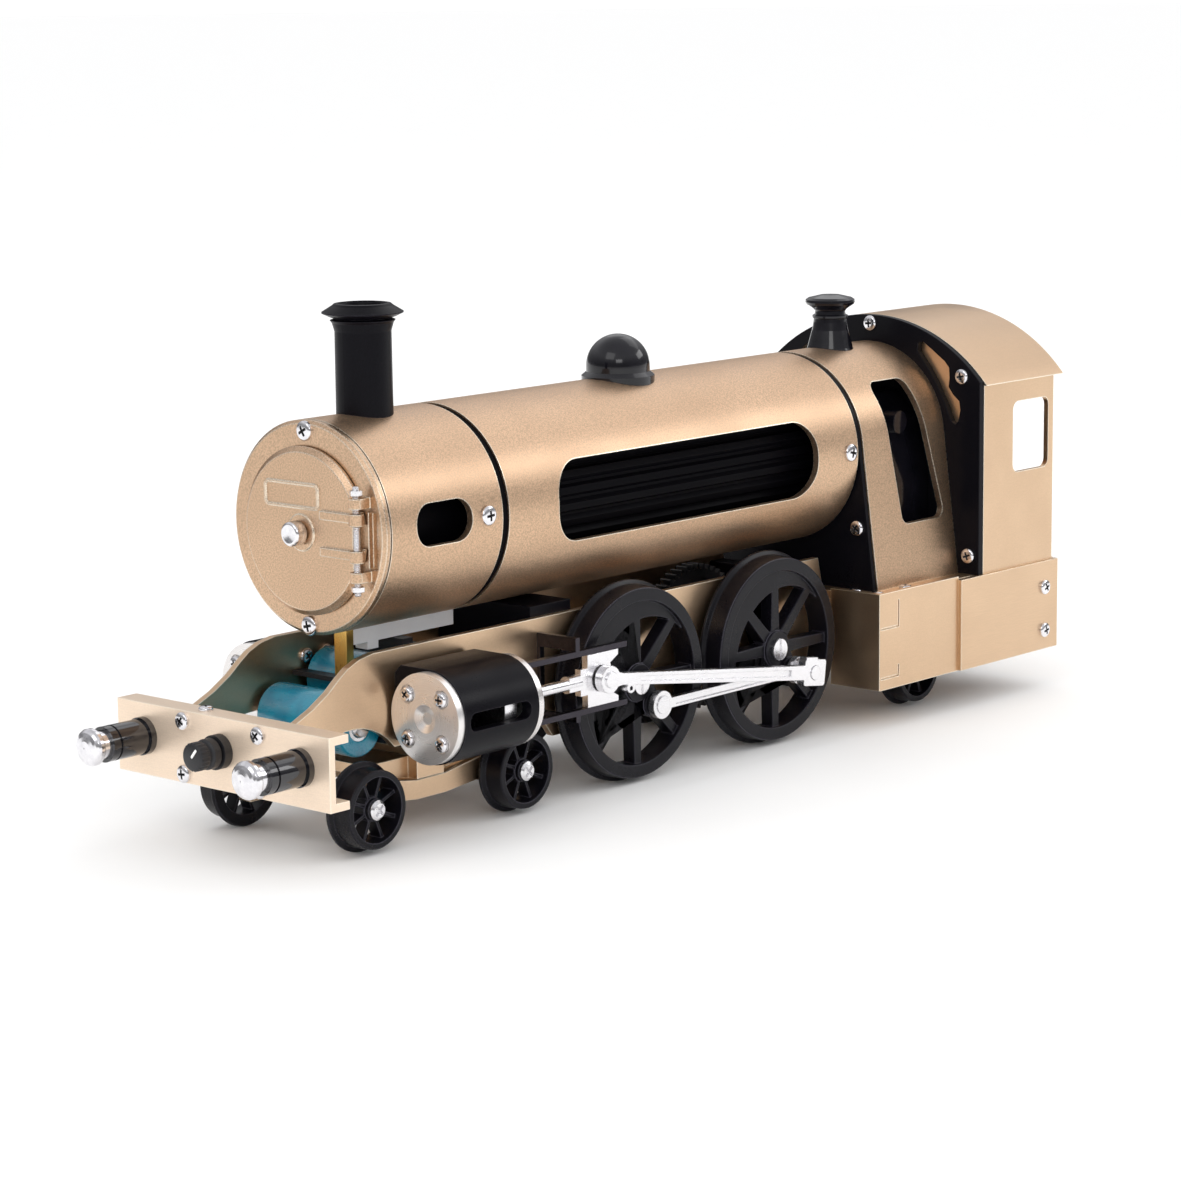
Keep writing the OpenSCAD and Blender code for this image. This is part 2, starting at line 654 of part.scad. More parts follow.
// Front covers with a turned dimple, and rear flanges with a gland for the piston rod
module cylinder_covers() color("gainsboro") loco() both() {
    difference() {
        rod_x(cyl_front, cover_face, cyl_r - 0.4, cyl_y, cyl_z, $fn = 96);
        translate([cover_face - 1, cyl_y, cyl_z]) rotate([0, 90, 0]) cylinder(h = 1.1, r1 = 1.6, r2 = 3.9);
        cover_bosses(cover_face - 0.6, cover_face + 0.6, 2.4);
    }
    cover_bosses(cover_face - 1, cover_face, 2.1);
    difference() {
        union() {
            rod_x(cyl_back - 2, cyl_back, cyl_r - 0.2, cyl_y, cyl_z, $fn = 96);
            rod_x(cyl_back - 4.4, cyl_back - 2, 4.2, cyl_y, cyl_z);
            block([cyl_back - 4, cyl_back - 2], [cross_in - 0.6, cross_out + 0.6], [cyl_z + 6.2, cyl_z + 10]);
            block([cyl_back - 4, cyl_back - 2], [cross_in - 0.6, cross_out + 0.6], [cyl_z - 10, cyl_z - 6.2]);
        }
        rod_x(cyl_back - 6, cyl_back + 1, rod_r + 0.08, cyl_y, cyl_z);
        for (z = [slide_gap, -slide_gap - slide_t])
            block([cyl_back - 5, cyl_back - 2], [cross_in, cross_out], [cyl_z + z, cyl_z + z + slide_t]);
    }
}

// Two slide bars a side, tied to the frame by a bracket that the crosshead passes through
module guide_bars() color("dimgray") loco() both() {
    for (z = [slide_gap, -slide_gap - slide_t])
        block([-84.6, cyl_back - 2], [cross_in, cross_out], [cyl_z + z, cyl_z + z + slide_t]);
    block(bracket_x, [frame_y, cross_out], [cyl_z + slide_gap + slide_t, bracket_top]);
    block(bracket_x, [frame_y, cross_out], [bracket_bottom, cyl_z - slide_gap - slide_t]);
    block(bracket_x, [frame_y, frame_y + 1.2], [bracket_bottom, bracket_top]);
}

function pin_x(s) = rear_axle_x + crank_r * cos(s > 0 ? left_crank : right_crank)
    + sqrt(pow(main_rod_l, 2) - pow(cyl_z - driver_r - crank_r * sin(s > 0 ? left_crank : right_crank), 2));

// Crosshead plate in stepped steel, with its piston rod and piston
module crosshead(s) color("whitesmoke") loco() on_side(s) translate([pin_x(s), 0, cyl_z]) {
    upright(cross_in, cross_out) polygon([[-6.4, 7.05], [5.8, 7.05], [5.8, 3.6], [8.6, 3.6], [8.6, -3.6],
        [5.8, -3.6], [5.8, -7.05], [-6.4, -7.05], [-6.4, -5.6], [-3.2, -3.8], [-4.4, 0], [-3.2, 3.8],
        [-6.4, 5.6]]);
    difference() {
        rod_x(6, 13, 2.3, cyl_y, 0);
        block([5, 14], [32.95, 40], [-5, 5]);
    }
    rod_x(8, 43.6, rod_r, cyl_y, 0);
    rod_x(41.6, 46, bore_r - 0.08, cyl_y, 0);
}

module crosshead_left() crosshead(1);
module crosshead_right() crosshead(-1);

// Steel main rod: round small end with its own pin cap, tapered shank, square big end
module main_rod(s) color("whitesmoke") loco() on_side(s) {
    a = s > 0 ? left_crank : right_crank;
    cx = rear_axle_x + crank_r * cos(a);
    cz = driver_r + crank_r * sin(a);
    tilt = atan2(cyl_z - cz, pin_x(s) - cx);
    translate([cx, 0, cz]) rotate([0, -tilt, 0]) {
        difference() {
            upright(main_in, main_out) {
                polygon([[4, -2.1], [12, -2], [main_rod_l - 5, -1.5], [main_rod_l - 2, -2.2],
                    [main_rod_l - 2, 2.2], [main_rod_l - 5, 1.7], [12, 2], [4, 2.1]]);
                rounded(9.6, 7.6, 0.9);
                translate([main_rod_l, 0]) circle(3.7);
                translate([main_rod_l - 8.6, -2.1]) circle(1.7);
                translate([1.8, 3.6]) square([5.2, 1.6], center = true);
            }
            rod_y(main_in - 1, main_out + 1, pin_r + run);
            rod_y(main_in - 1, main_out + 1, 0.6, main_rod_l - 8.6, -2.5);
            upright(main_out - 0.5, main_out + 1) polygon([[11, -0.9], [main_rod_l - 12, -0.6],
                [main_rod_l - 12, 0.7], [11, 0.9]]);
        }
        rod_y(main_out, main_out + 0.5, 2.2, main_rod_l, 0);
    }
}

module main_rod_left() main_rod(1);
module main_rod_right() main_rod(-1);

// Coupling rod between the two crank pins, fluted on its face
module coupling_rod(s) color("whitesmoke") loco() on_side(s) {
    a = s > 0 ? left_crank : right_crank;
    reach = front_axle_x - rear_axle_x;
    translate([rear_axle_x + crank_r * cos(a), 0, driver_r + crank_r * sin(a)]) difference() {
        upright(coupling_in, coupling_out) {
            polygon([[0, -1.4], [reach, -1.4], [reach, 1.4], [0, 1.4]]);
            circle(3.9);
            translate([reach, 0]) circle(3.9);
        }
        for (x = [0, reach]) rod_y(coupling_in - 1, coupling_out + 1, pin_r + run, x, 0);
        upright(coupling_out - 0.5, coupling_out + 1) translate([reach / 2, 0])
            square([reach - 11, 1.3], center = true);
    }
}

module coupling_rod_left() coupling_rod(1);
module coupling_rod_right() coupling_rod(-1);

// ---------------------------------------------------------------- wheels

// Rim with a flange at the back and a recessed face, for the left side
module rim(r, depth, inner) turned_y() polygon([[inner, back_y], [r + flange_h - 0.3, back_y],
    [r + flange_h, back_y + 0.5], [r + flange_h, back_y + 1.1], [r + 0.25, back_y + 1.8],
    [r, wheel_face - depth], [r - 0.3, wheel_face], [inner, wheel_face]]);

module driver(a) difference() {
    union() {
        rim(driver_r, 0.4, driver_r - 3.7);
        upright(back_y + 1.6, wheel_face - 1.3) {
            for (i = [0 : driver_spokes - 1]) rotate(i * 360 / driver_spokes)
                polygon([[3, -1.9], [driver_r - 3, -1.35], [driver_r - 3, 1.35], [3, 1.9]]);
            difference() {
                circle(driver_r - 3.4);
                rotate(a) translate([6.6, 0]) circle(driver_r - 3.9);
            }
            circle(5.6);
            rotate(a) polygon([[0, -5.4], [crank_r, -3.6], [crank_r, 3.6], [0, 5.4]]);
            rotate(a) translate([crank_r, 0]) circle(3.8);
        }
        rod_y(back_y, wheel_face - 0.4, 5.2);
        rotate([0, -a, 0]) rod_y(wheel_face - 1.4, wheel_face - 0.4, 3.4, crank_r, 0);
    }
    rod_y(back_y - 1, wheel_face + 2, axle_r);
    rotate([0, -a, 0]) rod_y(back_y - 1, wheel_face + 2, pin_r, crank_r, 0);
}

module drivers(x) color("#1c1c1c") loco() translate([x, 0, driver_r]) {
    driver(left_crank);
    on_side(-1) driver(right_crank);
}

module front_drivers() drivers(front_axle_x);
module rear_drivers() drivers(rear_axle_x);

// Axle with a slotted nut at each end, and the two crank pins set a quarter turn apart
module driver_axle(x, pin_end, cap_start, cap_end) color("silver") loco() translate([x, 0, driver_r]) {
    rod_y(-wheel_face - 0.1, wheel_face + 0.1, axle_r);
    both() difference() {
        rod_y(wheel_face - 0.35, wheel_face + 0.55, 3.1);
        rod_y(wheel_face - 1, wheel_face + 0.1, axle_r);
        block([-0.4, 0.4], [wheel_face + 0.15, wheel_face + 1], [-4, 4]);
    }
    for (s = [1, -1]) on_side(s) rotate([0, s > 0 ? -left_crank : -right_crank, 0]) {
        rod_y(back_y + 2, pin_end, pin_r, crank_r, 0);
        rod_y(cap_start, cap_end, 2.5, crank_r, 0);
    }
}

module front_axle() driver_axle(front_axle_x, coupling_out + 0.1, coupling_out + 0.06, coupling_out + 0.36);
module rear_axle() driver_axle(rear_axle_x, main_out + 0.3, coupling_out + 0.8, main_in - 0.8);

module small_wheel() difference() {
    union() {
        rim(bogie_wheel_r, 0.3, bogie_wheel_r - 1.7);
        upright(back_y + 1.4, wheel_face - 1.9) {
            for (i = [0 : 7]) rotate(i * 45 + 22.5) translate([5.6, 0]) square([7.4, 0.9], center = true);
            circle(3.2);
        }
        rod_y(back_y, wheel_face - 0.6, 2.9);
    }
    rod_y(back_y - 1, wheel_face + 2, small_axle_r);
}

module small_wheels(x) color("#1c1c1c") loco() translate([x, 0, bogie_wheel_r]) both() small_wheel();

module small_axle(x) color("silver") loco() translate([x, 0, bogie_wheel_r]) {
    rod_y(-wheel_face + 0.5, wheel_face - 0.5, small_axle_r);
    both() translate([0, wheel_face - 0.6, 0]) rotate([-90, 0, 0]) screw(2.6);
}

module bogie_front_wheels() small_wheels(bogie_x + bogie_half);
module bogie_rear_wheels() small_wheels(bogie_x - bogie_half);
module bogie_front_axle() small_axle(bogie_x + bogie_half);
module bogie_rear_axle() small_axle(bogie_x - bogie_half);
module trailing_wheels() small_wheels(trailing_x);
module trailing_axle() small_axle(trailing_x);

// Cross block on the swivel pin, with a bent bar each side to the two axles
module bogie_frame() color("goldenrod") loco() translate([bogie_x, 0, 0]) difference() {
    union() {
        block([-5, 5], [-19.2, 19.2], [12, 20.4]);
        block([-20, 20], [-14, 14], [15.4, 18.4]);
        both() upright(15, 19.4) polygon([[-5.2, 7.4], [5.2, 7.4], [17, 8.6], [bogie_half - 4, 6.4],
            [bogie_half + 4, 6.4], [bogie_half + 4, 13.8], [bogie_half - 4, 15.4], [17, 14.4], [5, 12.6],
            [-5, 12.6], [-17, 14.4], [-bogie_half + 4, 15.4], [-bogie_half - 4, 13.8], [-bogie_half - 4, 6.4],
            [-bogie_half + 4, 6.4], [-17, 8.6]]);
        both() upright(13, 16) polygon([[-20, 12], [20, 12], [17, 18.4], [-17, 18.4]]);
    }
    translate([0, 0, 5]) cylinder(h = 20, r = 3 + run);
    translate([0, 0, 5]) cylinder(h = 8.2, r = 5.4);
    for (x = [-bogie_half, bogie_half]) rod_y(-20, 20, small_axle_r + run, x, bogie_wheel_r);
}

frame_left();
frame_right();
buffer_beam();
rear_beam();
frame_stretchers();
buffer_stocks();
panel_screws();
smokebox_shell();
smokebox_ring();
hinge_pin();
chimney();
boiler_shell();
boiler_core();
dome();
safety_valve();
firebox_shell();
firebox_core();
throat_plate();
cab_front_plate();
cab_lining();
cab_sides();
cab_roof();
backhead();
footplate();
side_boxes();
rear_panels();
saddle_post();
saddle_bar();
battery_cells();
cell_cradle();
motor();
cylinder_blocks();
cylinder_covers();
guide_bars();
rear_drawbar();
switch_body();
control_knob();
smokebox_door();
door_knob();
buffer_head_left();
buffer_head_right();
bogie_frame();
bogie_front_wheels();
bogie_front_axle();
bogie_rear_wheels();
bogie_rear_axle();
trailing_wheels();
trailing_axle();
front_drivers();
front_axle();
rear_drivers();
rear_axle();
drive_gear();
motor_pinion();
coupling_rod_left();
coupling_rod_right();
main_rod_left();
main_rod_right();
crosshead_left();
crosshead_right();
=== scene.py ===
"""Looks of the model steam locomotive: finishes, softened edges, small turned parts and a studio."""

import json
import math
import random

import bmesh
import bpy
from mathutils import Matrix, Vector


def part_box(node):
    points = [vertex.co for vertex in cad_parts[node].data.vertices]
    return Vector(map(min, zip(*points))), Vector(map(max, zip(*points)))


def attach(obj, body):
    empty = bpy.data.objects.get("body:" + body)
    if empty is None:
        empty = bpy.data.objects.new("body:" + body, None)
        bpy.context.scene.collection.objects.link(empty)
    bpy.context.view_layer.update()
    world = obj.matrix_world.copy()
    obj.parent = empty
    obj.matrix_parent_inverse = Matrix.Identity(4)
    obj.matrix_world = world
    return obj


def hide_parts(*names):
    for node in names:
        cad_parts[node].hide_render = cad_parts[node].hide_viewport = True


MM = 0.001
# Rounding shown on plain edges and on the cast ring and door, in millimetres
EDGE = 0.18
CAST_EDGE = 0.6
# Anodised gold; a paler copy of it, painted lighter for the buffer beam; and the near-white gold of its
# edges, partly rubbed bare metal and partly painted highlight
GOLD = (0.665, 0.46, 0.305)
GOLD_MILLED = (0.70, 0.50, 0.33)
GOLD_PAINTED_LIGHTER = (0.93, 0.75, 0.585)
GOLD_EDGE_WEAR_AND_PAINTED_HIGHLIGHT = (1.0, 0.93, 0.78)
MILLED_EDGE_WEAR_AND_PAINTED_HIGHLIGHT = (1.0, 0.94, 0.80)
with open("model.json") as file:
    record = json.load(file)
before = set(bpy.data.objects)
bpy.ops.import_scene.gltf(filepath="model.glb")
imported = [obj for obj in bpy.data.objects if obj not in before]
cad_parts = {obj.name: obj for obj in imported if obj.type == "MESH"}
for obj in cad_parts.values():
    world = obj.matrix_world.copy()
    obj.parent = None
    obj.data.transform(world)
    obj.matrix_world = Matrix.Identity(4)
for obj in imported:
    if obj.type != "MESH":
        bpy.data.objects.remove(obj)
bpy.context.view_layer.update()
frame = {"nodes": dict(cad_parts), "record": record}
nodes = frame["nodes"]
random.seed(7)


# ---------------------------------------------------------------- materials


class Finish:
    """A node material: one Principled shader, with helpers that wire surface detail into it."""

    def __init__(self, name, metallic, edge=EDGE, **sockets):
        self.material = bpy.data.materials.new(name)
        self.material.use_nodes = True
        self.tree = self.material.node_tree
        self.shader = self.tree.nodes["Principled BSDF"]
        self.shader.inputs["Metallic"].default_value = metallic
        for socket, value in sockets.items():
            self.shader.inputs[socket.replace("_", " ")].default_value = value
        self.place = self.add("ShaderNodeTexCoord").outputs["Object"]
        rounded = self.add("ShaderNodeBevel", samples=4)
        rounded.inputs["Radius"].default_value = edge * MM
        self.normal = rounded.outputs[0]

    def add(self, kind, **settings):
        node = self.tree.nodes.new(kind)
        for key, value in settings.items():
            setattr(node, key, value)
        return node

    def feed(self, socket, value):
        """Sets a socket to a number or colour, or links an output to it."""
        if isinstance(value, bpy.types.NodeSocket):
            self.tree.links.new(value, socket)
        else:
            socket.default_value = value

    def math(self, operation, a, b=0.0):
        node = self.add("ShaderNodeMath", operation=operation)
        self.feed(node.inputs[0], a)
        self.feed(node.inputs[1], b)
        return node.outputs[0]

    def noise(self, size, detail=2.0, stretch=(1, 1, 1), place=None):
        """Noise whose features are about size millimetres across, longer where stretch is small."""
        mapping = self.add("ShaderNodeMapping")
        self.feed(mapping.inputs["Vector"], place or self.place)
        mapping.inputs["Scale"].default_value = [s / (size * MM) for s in stretch]
        texture = self.add("ShaderNodeTexNoise")
        self.feed(texture.inputs["Vector"], mapping.outputs[0])
        texture.inputs["Scale"].default_value = 1
        texture.inputs["Detail"].default_value = detail
        return texture.outputs["Fac"]

    def spread(self, value, low, high, start=0.3, end=0.7):
        """Stretches value from start..end to low..high."""
        node = self.add("ShaderNodeMapRange")
        for socket, number in zip(node.inputs[:5], (value, start, end, low, high)):
            self.feed(socket, number)
        return node.outputs[0]

    def blend(self, share, a, b):
        """Colour a where share is 0, b where it is 1."""
        node = self.add("ShaderNodeMix", data_type="RGBA")
        self.feed(node.inputs[0], share)
        self.feed(node.inputs[6], (*a, 1) if isinstance(a, tuple) else a)
        self.feed(node.inputs[7], (*b, 1) if isinstance(b, tuple) else b)
        return node.outputs[2]

    def edges(self, width, low=0.005, high=0.06):
        """1 on edges sharper than width millimetres, 0 on flat and gently curved faces."""
        bevel = self.add("ShaderNodeBevel", samples=6)
        bevel.inputs["Radius"].default_value = width * MM
        face = self.add("ShaderNodeNewGeometry")
        dot = self.add("ShaderNodeVectorMath", operation="DOT_PRODUCT")
        self.feed(dot.inputs[0], bevel.outputs[0])
        self.feed(dot.inputs[1], face.outputs["Normal"])
        return self.spread(dot.outputs["Value"], 1.0, 0.0, 1 - high, 1 - low)

    def bump(self, height, depth, strength=1.0):
        """Adds relief depth millimetres deep."""
        node = self.add("ShaderNodeBump")
        node.inputs["Strength"].default_value = strength
        node.inputs["Distance"].default_value = depth * MM
        self.feed(node.inputs["Height"], height)
        self.feed(node.inputs["Normal"], self.normal)
        self.normal = node.outputs[0]
        self.feed(self.shader.inputs["Normal"], self.normal)

    def colour(self, value):
        self.feed(self.shader.inputs["Base Color"], value)

    def roughness(self, value):
        self.feed(self.shader.inputs["Roughness"], value)


def blasted(name, base, rough=0.42, edge=EDGE):
    """Bead-blasted and anodised aluminium: a fine even grain that sparkles, and bright edges, partly
    rubbed bare metal and partly painted highlight.
    """
    f = Finish(name, 1.0, edge)
    grain = f.noise(0.4, detail=2)
    cloud = f.noise(24, detail=2)
    dark = tuple(0.78 * c for c in base)
    light = tuple(min(1.0, 1.14 * c) for c in base)
    skin = f.blend(f.spread(grain, 0.0, 1.0, 0.38, 0.62), dark, light)
    aged = f.blend(f.spread(cloud, 0.0, 0.22), skin, tuple(0.86 * c for c in base))
    # Near-white gold on the edges: partly rubbed bare metal, partly painted highlight
    rim = f.edges(0.5)
    f.colour(f.blend(f.math("MULTIPLY", rim, 0.9), aged, GOLD_EDGE_WEAR_AND_PAINTED_HIGHLIGHT))
    skin_rough = f.math("ADD", f.spread(grain, -0.08, 0.08), f.spread(cloud, rough - 0.03, rough + 0.03))
    f.roughness(f.math("SUBTRACT", skin_rough, f.math("MULTIPLY", rim, 0.12)))
    f.bump(grain, 0.035, 0.6)
    return f.material


def satin(name, base, along, rough=0.34, metallic=1.0):
    """Fine-milled and anodised aluminium: faint hairlines along one axis, and bright edges, partly rubbed
    bare metal and partly painted highlight.
    """
    f = Finish(name, metallic)
    stretch = [1.0, 1.0, 1.0]
    stretch["XYZ".index(along)] = 0.03
    line = f.noise(0.13, detail=3, stretch=stretch)
    grain = f.noise(0.3, detail=2)
    patch = f.noise(14, detail=2)
    dark = tuple(0.95 * c for c in base)
    light = tuple(min(1.0, 1.04 * c) for c in base)
    texture = f.math("MULTIPLY", f.math("ADD", line, grain), 0.5)
    skin = f.blend(f.spread(texture, 0.0, 1.0, 0.4, 0.6), dark, light)
    aged = f.blend(f.spread(patch, 0.0, 0.16), skin, tuple(0.88 * c for c in base))
    # Near-white gold on the edges: partly rubbed bare metal, partly painted highlight
    f.colour(f.blend(f.math("MULTIPLY", f.edges(0.45), 0.9), aged, MILLED_EDGE_WEAR_AND_PAINTED_HIGHLIGHT))
    f.roughness(f.math("ADD", f.spread(line, -0.03, 0.04), f.spread(patch, rough - 0.03, rough + 0.03)))
    f.bump(line, 0.005, 0.4)
    f.bump(grain, 0.008, 0.4)
    return f.material


def satin_black(name, base=(0.003, 0.0028, 0.0042), rough=0.33, grain_size=0.3, wear=0.4, gloss=0.09):
    """Black anodising or paint with a slight grain, thin where an edge is handled."""
    f = Finish(name, 0.0, Specular_IOR_Level=gloss)
    grain = f.noise(grain_size, detail=3)
    cloud = f.noise(15, detail=3)
    skin = f.blend(f.spread(grain, 0.0, 1.0), base, tuple(1.9 * c for c in base))
    f.colour(f.blend(f.math("MULTIPLY", f.edges(0.18), wear), skin, (0.10, 0.095, 0.115)))
    f.roughness(f.math("ADD", f.spread(grain, -0.05, 0.06), f.spread(cloud, rough - 0.04, rough + 0.05)))
    f.bump(grain, 0.02, 0.5)
    return f.material


def gloss_black(name, coat_ior=1.42):
    """Turned and lacquered black: faint lathe rings under a clear coat."""
    f = Finish(name, 0.0, Specular_IOR_Level=0.2, Coat_Weight=0.7, Coat_Roughness=0.06, Coat_IOR=coat_ior)
    ring = f.noise(0.22, detail=2, stretch=(0.02, 0.02, 1.0))
    cloud = f.noise(6, detail=3)
    f.colour(f.blend(f.spread(cloud, 0.0, 1.0), (0.003, 0.003, 0.005), (0.007, 0.0065, 0.010)))
    f.roughness(f.math("ADD", f.spread(ring, -0.02, 0.03), f.spread(cloud, 0.16, 0.24)))
    f.bump(ring, 0.004, 0.4)
    return f.material


def wheel_black(name):
    """Satin black wheel paint with paler edges, partly rubbed paint and partly painted highlight."""
    f = Finish(name, 0.0, Specular_IOR_Level=0.2)
    grain = f.noise(0.35, detail=3)
    cloud = f.noise(11, detail=3)
    skin = f.blend(f.spread(grain, 0.0, 1.0), (0.0035, 0.0032, 0.005), (0.007, 0.0065, 0.010))
    # Paler edges: partly rubbed paint, partly painted highlight
    f.colour(f.blend(f.math("MULTIPLY", f.edges(0.4), 0.8), skin, (0.09, 0.086, 0.11)))
    f.roughness(f.math("ADD", f.spread(grain, -0.05, 0.05), f.spread(cloud, 0.27, 0.37)))
    f.bump(grain, 0.02, 0.45)
    return f.material


def steel(name, base, rough, along="X", tone=0.9):
    """Milled and polished metal with fine hairlines along one axis and a few scuffs."""
    f = Finish(name, 1.0)
    stretch = [1.0, 1.0, 1.0]
    stretch["XYZ".index(along)] = 0.02
    line = f.noise(0.14, detail=4, stretch=stretch)
    scuff = f.noise(4, detail=5)
    f.colour(f.blend(f.spread(line, 0.0, 1.0), tuple(tone * c for c in base), base))
    f.roughness(f.math("ADD", f.spread(line, -0.05, 0.06), f.spread(scuff, rough - 0.05, rough + 0.08)))
    f.bump(line, 0.008, 0.45)
    return f.material


def chromed(name):
    """Polished plating with faint smudges."""
    f = Finish(name, 1.0)
    smudge = f.noise(1.6, detail=4)
    pit = f.noise(0.25, detail=3)
    f.colour(f.blend(f.spread(smudge, 0.0, 1.0), (0.74, 0.73, 0.76), (0.92, 0.91, 0.93)))
    f.roughness(f.math("ADD", f.spread(smudge, 0.13, 0.2), f.spread(pit, -0.02, 0.02)))
    f.bump(pit, 0.002, 0.3)
    return f.material


def turned_silver(name, axis_y, axis_z):
    """Faced aluminium: rings round a fore-and-aft axis on each side of the locomotive."""
    f = Finish(name, 0.8)
    parts = f.add("ShaderNodeSeparateXYZ")
    f.feed(parts.inputs[0], f.place)
    across = f.math("SUBTRACT", f.math("ABSOLUTE", parts.outputs[1]), axis_y)
    up = f.math("SUBTRACT", parts.outputs[2], axis_z)
    radius = f.math("SQRT", f.math("ADD", f.math("MULTIPLY", across, across), f.math("MULTIPLY", up, up)))
    combine = f.add("ShaderNodeCombineXYZ")
    f.feed(combine.inputs[0], radius)
    ring = f.noise(0.22, detail=3, place=combine.outputs[0])
    scuff = f.noise(3, detail=4)
    f.colour(f.blend(f.spread(ring, 0.0, 1.0), (0.74, 0.71, 0.70), (0.92, 0.90, 0.88)))
    f.roughness(f.math("ADD", f.spread(ring, -0.03, 0.04), f.spread(scuff, 0.27, 0.31)))
    f.bump(ring, 0.006, 0.4)
    return f.material


def moulded(name, base, rough=0.45):
    """Moulded plastic with a fine texture."""
    f = Finish(name, 0.0)
    grain = f.noise(0.25, detail=2)
    cloud = f.noise(8, detail=3)
    f.colour(f.blend(f.spread(cloud, 0.0, 1.0), base, tuple(1.5 * c + 0.004 for c in base)))
    f.roughness(f.math("ADD", f.spread(grain, -0.05, 0.05), f.spread(cloud, rough - 0.05, rough + 0.05)))
    f.bump(grain, 0.015, 0.5)
    return f.material


def pale(name):
    """Frosted pale aluminium, bright even in the shade."""
    f = Finish(name, 0.1)
    grain = f.noise(0.3, detail=3)
    cloud = f.noise(5, detail=3)
    f.colour(f.blend(f.spread(cloud, 0.0, 1.0), (0.93, 0.92, 0.95), (0.99, 0.985, 1.0)))
    f.roughness(f.math("ADD", f.spread(grain, -0.04, 0.04), f.spread(cloud, 0.32, 0.42)))
    f.bump(grain, 0.01, 0.4)
    return f.material


def shrink_wrap(name):
    """Glossy blue film drawn tight round a cell, with faint wrinkles at its ends."""
    f = Finish(name, 0.0, Coat_Weight=0.7, Coat_Roughness=0.12)
    wrinkle = f.noise(1.1, detail=3, stretch=(1, 0.25, 1))
    cloud = f.noise(7, detail=2)
    f.colour(f.blend(f.spread(cloud, 0.0, 1.0), (0.003, 0.17, 0.28), (0.008, 0.29, 0.42)))
    f.roughness(f.spread(wrinkle, 0.22, 0.38))
    f.bump(wrinkle, 0.05, 0.35)
    return f.material


cylinder_axis = [(a + b) / 2 for a, b in zip(*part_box("crosshead_left"))]
MATERIALS = {
    "gold_blasted": blasted("gold_blasted", GOLD),
    "gold_cast": blasted("gold_cast", GOLD, rough=0.36, edge=CAST_EDGE),
    "gold_brushed": satin("gold_brushed", GOLD_MILLED, "X"),
    # A paler, partly diffuse copy of the milled gold, painted lighter for the buffer beam
    "gold_painted_lighter": satin("gold_painted_lighter", GOLD_PAINTED_LIGHTER, "Y", metallic=0.55),
    "black_satin": satin_black("black_satin"),
    "black_gloss": gloss_black("black_gloss"),
    "black_plated": gloss_black("black_plated", coat_ior=1.75),
    "wheel_black": wheel_black("wheel_black"),
    "bright_steel": steel("bright_steel", (0.90, 0.89, 0.91), 0.22),
    "chromed": chromed("chromed"),
    "silver_aluminium": turned_silver("silver_aluminium", cylinder_axis[1], cylinder_axis[2]),
    "dark_steel": steel("dark_steel", (0.055, 0.05, 0.06), 0.30),
    "pale_aluminium": pale("pale_aluminium"),
    # Near-black for the screws' cross recesses: painted shade in place of the chrome of the head
    "recess": moulded("recess", (0.012, 0.011, 0.012)),
    "cell_steel": steel("cell_steel", (0.72, 0.72, 0.74), 0.2, along="Z"),
    "pointer_white": moulded("pointer_white", (0.75, 0.75, 0.73)),
    "motor_can": steel("motor_can", (0.62, 0.61, 0.62), 0.26, along="Y"),
    "brass": steel("brass", (0.72, 0.46, 0.13), 0.28, along="Z"),
    "cell_wrap": shrink_wrap("cell_wrap"),
    "black_plastic": moulded("black_plastic", (0.008, 0.008, 0.010)),
    # Rougher than the satin black, and darker: the darker base is painted shade on the core seen through
    # the boiler's window
    "black_matt": satin_black("black_matt", (0.0014, 0.0013, 0.002), rough=0.5, wear=0.05, gloss=0.04),
}


# Nodes whose finish differs from the rest of their slot; the buffer beam's paler gold is painted light
SPECIAL = {"firebox_core": "black_gloss", "buffer_beam": "gold_painted_lighter", "buffer_stocks": "black_plated",
           "smokebox_ring": "gold_cast", "smokebox_door": "gold_cast"}


def dress():
    """Gives every CAD node the finish of its slot in the record."""
    for part in frame["record"]["subparts"]:
        node = nodes[part["node"]]
        node.data.materials.clear()
        node.data.materials.append(MATERIALS[SPECIAL.get(part["node"], part["material_slot"])])
        for face in node.data.polygons:
            face.material_index = 0


dress()


# ---------------------------------------------------------------- softened edges


def soften(names, width, segments=2, angle=32):
    """Rounds the sharp edges of CAD nodes by width millimetres and shades the rest smooth."""
    for name in names:
        node = nodes[name]
        for face in node.data.polygons:
            face.use_smooth = True
        if "custom_normal" in node.data.attributes:
            node.data.attributes.remove(node.data.attributes["custom_normal"])
        weld = node.modifiers.new("weld", "WELD")
        weld.merge_threshold = 0.002 * MM
        flatten = node.modifiers.new("flatten", "DECIMATE")
        flatten.decimate_type = "DISSOLVE"
        flatten.angle_limit = math.radians(0.4)
        bevel = node.modifiers.new("edge", "BEVEL")
        bevel.width = width * MM
        bevel.segments = segments
        bevel.limit_method = "ANGLE"
        bevel.angle_limit = math.radians(angle)
        bevel.use_clamp_overlap = False
        bevel.harden_normals = True


soften(["front_drivers", "rear_drivers"], 0.3, segments=3)
soften(["bogie_front_wheels", "bogie_rear_wheels", "trailing_wheels"], 0.15)
soften(["main_rod_left", "main_rod_right", "coupling_rod_left", "coupling_rod_right"], 0.12)
soften(["buffer_beam", "rear_beam", "rear_panels", "footplate", "cab_front_plate", "throat_plate"], 0.2)
soften(["bogie_frame", "frame_stretchers", "saddle_bar", "saddle_post", "backhead", "rear_drawbar"], 0.2)


# ---------------------------------------------------------------- pieces built here


